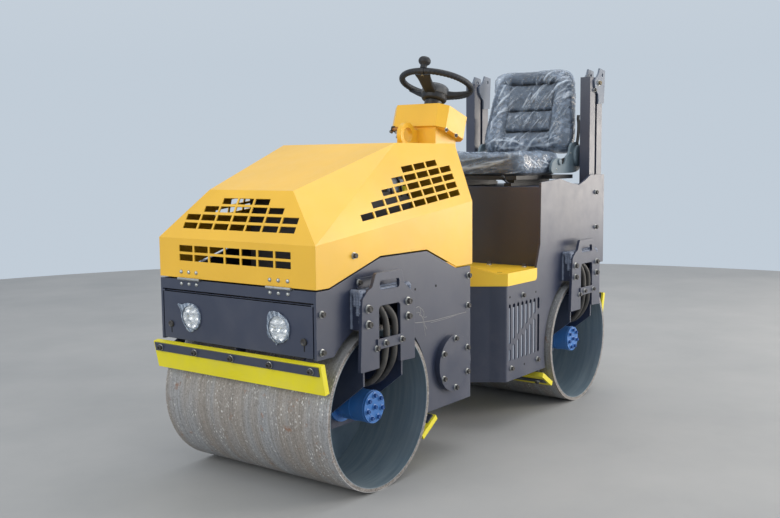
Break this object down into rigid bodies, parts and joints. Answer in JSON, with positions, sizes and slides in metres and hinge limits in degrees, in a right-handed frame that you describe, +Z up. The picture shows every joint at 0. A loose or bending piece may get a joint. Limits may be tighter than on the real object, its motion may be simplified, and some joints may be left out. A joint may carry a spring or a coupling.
{
  "type": "ride-on tandem vibratory roller",
  "caption": "Articulated ride-on tandem vibratory roller with smooth steel drums, yellow hood, blue-grey frame, seat, console and cut-down roll bar posts.",
  "frame": {"origin": "on the ground, midway between the drum axles, below the steering pivot", "axes": "+X forward towards the hood, +Y to the machine's left, +Z up"},
  "size_m": [2.151, 0.836, 1.5561],
  "materials": {
    "hood_yellow": "semi-gloss",
    "scraper_yellow": "semi-gloss",
    "frame_blue": "semi-gloss",
    "motor_blue": "gloss",
    "drum_steel": "worn",
    "drum_inner": "worn",
    "zinc": "satin",
    "ear_grey": "satin",
    "hose_rubber": "matt",
    "seat_vinyl": "semi-gloss",
    "black_paint": "satin",
    "black_plastic": "satin",
    "lamp_glass": "clear over chrome",
    "engine_iron": "matt",
    "rod_chrome": "polished"
  },
  "bodies": {
    "rear_frame": {"rear_side_plates": "frame_blue", "rear_cross_plates": "frame_blue", "rear_yoke": "frame_blue", "foot_step": "hood_yellow", "seat_box": "frame_blue", "roll_bar_posts": "frame_blue", "roll_bar_ears": "ear_grey", "console_column": "hood_yellow", "console_head": "hood_yellow", "steering_neck": "black_plastic", "key_switch": "zinc", "seat_rails": "black_paint", "rear_brackets": "frame_blue", "rear_motors": "motor_blue", "rear_hoses": "hose_rubber", "rear_scrapers": "scraper_yellow", "rear_scraper_clamps": "frame_blue"},
    "front_frame": {"front_side_plates": "frame_blue", "front_cross_plates": "frame_blue", "side_covers": "frame_blue", "front_yoke": "frame_blue", "hood_hinge_frames": "zinc", "engine_block": "engine_iron", "front_brackets": "frame_blue", "front_motors": "motor_blue", "front_hoses": "hose_rubber", "front_scrapers": "scraper_yellow", "front_scraper_clamps": "frame_blue"},
    "front_drum": {"front_drum_shell": "drum_steel", "front_drum_webs": "drum_inner"},
    "rear_drum": {"rear_drum_shell": "drum_steel", "rear_drum_webs": "drum_inner"},
    "hood": {"hood": "hood_yellow", "hood_hinge_leaves": "zinc"},
    "lamp_panel": {"lamp_panel": "frame_blue", "headlamps": "lamp_glass"},
    "seat": {"seat_pan": "black_paint", "seat_cushion": "seat_vinyl", "seat_back": "seat_vinyl", "seat_brackets": "ear_grey"},
    "steering_wheel": {"steering_wheel": "black_plastic", "steering_knob": "black_plastic"},
    "cylinder_barrel": {"cylinder_barrel": "black_paint"},
    "cylinder_rod": {"cylinder_rod": "rod_chrome"}
  },
  "joints": [
    {"name": "articulation", "type": "hinge", "parent": "rear_frame", "child": "front_frame", "pos_m": [0, 0, 0.4], "axis": [0, 0, 1], "range_deg": [-30, 30]},
    {"name": "front_drum_spin", "type": "hinge", "parent": "front_frame", "child": "front_drum", "pos_m": [0.7525, 0, 0.28], "axis": [0, 1, 0], "continuous": true},
    {"name": "rear_drum_spin", "type": "hinge", "parent": "rear_frame", "child": "rear_drum", "pos_m": [-0.7525, 0, 0.28], "axis": [0, 1, 0], "continuous": true},
    {"name": "hood_hinge", "type": "hinge", "parent": "front_frame", "child": "hood", "pos_m": [1.0598, 0, 0.708], "axis": [0, 1, 0], "range_deg": [0, 60]},
    {"name": "lamp_panel_hinge", "type": "hinge", "parent": "front_frame", "child": "lamp_panel", "pos_m": [1.0515, 0, 0.661], "axis": [0, -1, 0], "range_deg": [0, 80]},
    {"name": "seat_slide", "type": "slide", "parent": "rear_frame", "child": "seat", "axis": [1, 0, 0], "range_m": [-0.03, 0.1]},
    {"name": "steering_wheel_turn", "type": "hinge", "parent": "rear_frame", "child": "steering_wheel", "pos_m": [-0.1508, 0, 1.42479], "axis": [-0.309, 0, 0.9511], "continuous": true},
    {"name": "cylinder_swing", "type": "hinge", "parent": "rear_frame", "child": "cylinder_barrel", "pos_m": [-0.36, -0.13, 0.4], "axis": [0, 0, 1], "range_deg": [-2.6, 2.6]},
    {"name": "cylinder_stroke", "type": "slide", "parent": "cylinder_barrel", "child": "cylinder_rod", "axis": [0.9999, 0.015, 0], "range_m": [-0.065, 0.065]}
  ],
  "couplings": [
    {"joint": "cylinder_swing", "follows": "articulation", "ratio": 0.081},
    {"joint": "cylinder_stroke", "follows": "articulation", "m_per_rad": 0.12}
  ]
}
